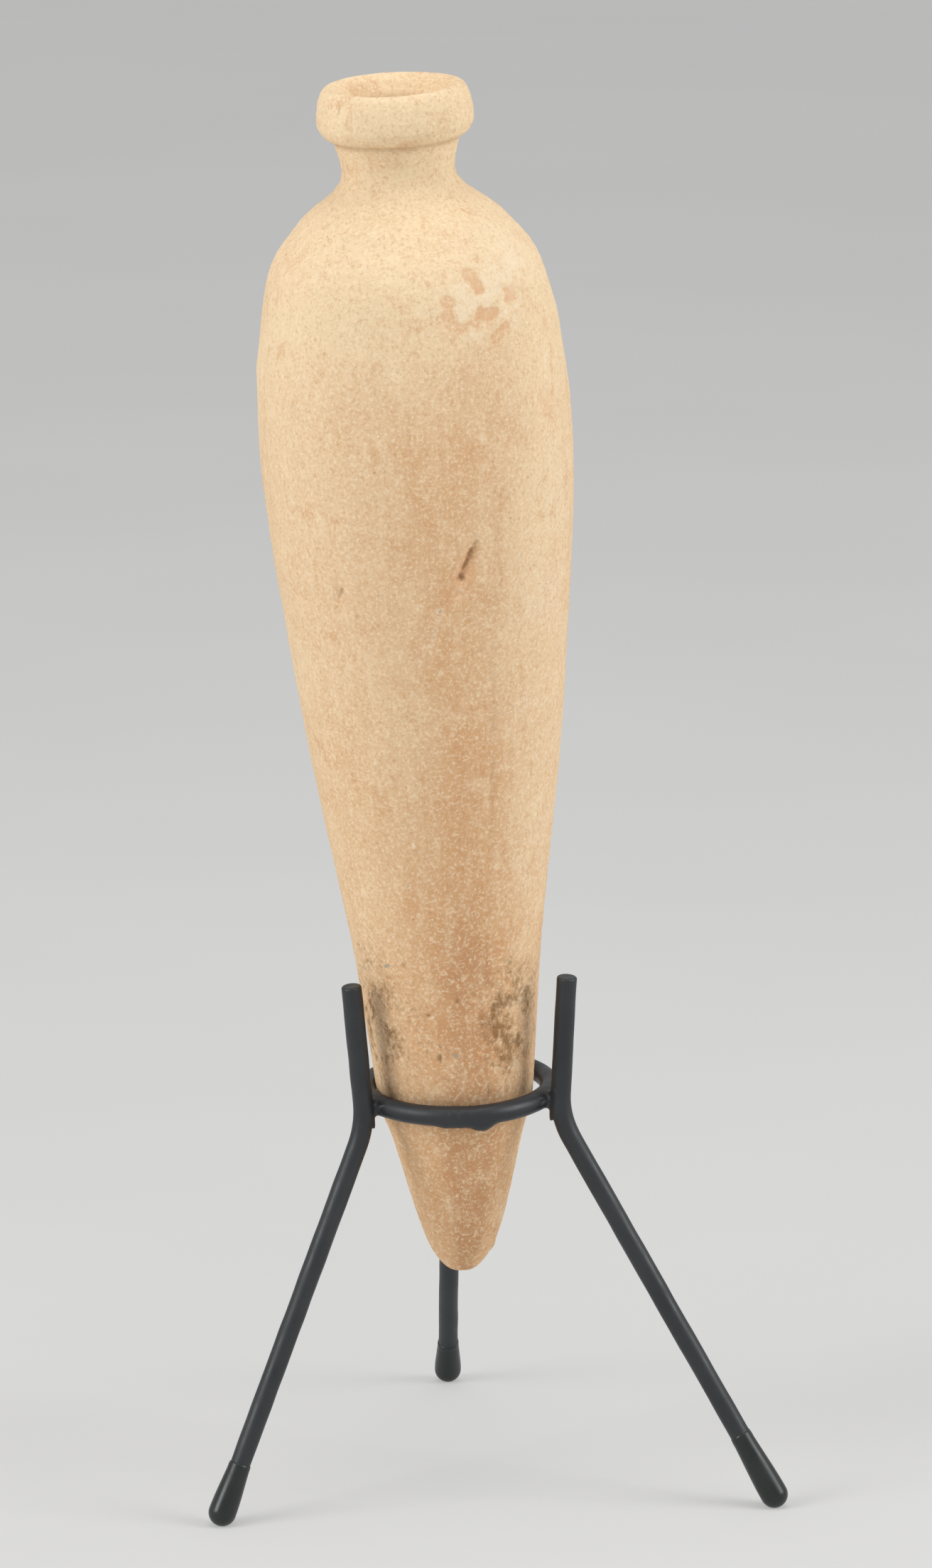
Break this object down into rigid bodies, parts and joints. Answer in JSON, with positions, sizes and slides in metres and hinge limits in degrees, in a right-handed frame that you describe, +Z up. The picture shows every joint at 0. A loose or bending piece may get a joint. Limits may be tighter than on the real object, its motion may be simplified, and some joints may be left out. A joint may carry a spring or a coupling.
{
  "type": "pointed clay bottle on tripod stand",
  "caption": "Pointed, handle-less clay bottle with a short neck and rolled rim, held upright in the ring of a bent steel rod tripod, out of which it lifts.",
  "frame": {"origin": "middle of the bottom of the whole object, on the surface it stands on", "axes": "+Z up; -Y the front, between the two front legs; +X to the right; the rear leg is towards +Y"},
  "size_m": [0.1362, 0.1322, 0.3352],
  "materials": {
    "clay": "matte unglazed fired clay",
    "paint": "satin charcoal-black paint over steel rod",
    "dip": "semi-gloss dipped coat"
  },
  "bodies": {
    "stand": {"ring": "paint", "ring_weld": "paint", "fillet_rear": "paint", "fillet_front_left": "paint", "fillet_front_right": "paint", "leg_rear": "paint", "foot_rear": "dip", "leg_front_left": "paint", "foot_front_left": "dip", "leg_front_right": "paint", "foot_front_right": "dip"},
    "bottle": {"bottle_body": "clay", "bottle_neck": "clay", "bottle_rim": "clay"}
  },
  "joints": [
    {"name": "bottle_lift", "type": "slide", "parent": "stand", "child": "bottle", "axis": [-0.0671, -0.0722, 0.9951], "range_m": [0, 0.09]}
  ]
}
